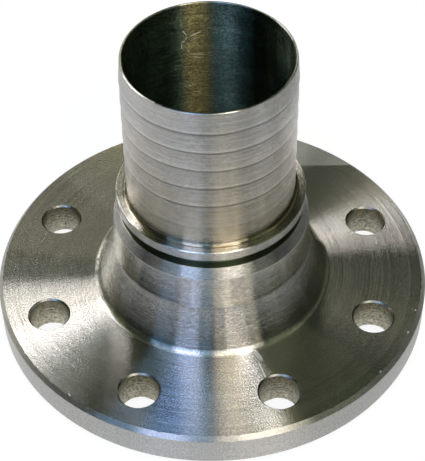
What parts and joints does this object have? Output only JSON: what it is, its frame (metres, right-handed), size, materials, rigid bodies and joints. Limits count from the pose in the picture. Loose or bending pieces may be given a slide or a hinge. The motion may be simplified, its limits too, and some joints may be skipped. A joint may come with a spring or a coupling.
{
  "type": "pipe flange with hose shank",
  "caption": "Round drilled pipe flange turned in one piece with a tapered hub, a clamp collar with a claw groove behind it, and a ribbed hose shank around a straight through bore.",
  "frame": {"origin": "centre of the raised sealing face, on the bore axis, at the lowest point of the part", "axes": "+Z along the bore axis from the sealing face to the hose end; +X and +Y both fall halfway between two bolt holes"},
  "size_m": [0.2, 0.2, 0.1464],
  "materials": {
    "turned_steel": "as turned on a lathe: fine rings about the axis, semi-gloss"
  },
  "bodies": {
    "root": {"pipe_flange": "turned_steel"}
  },
  "joints": []
}
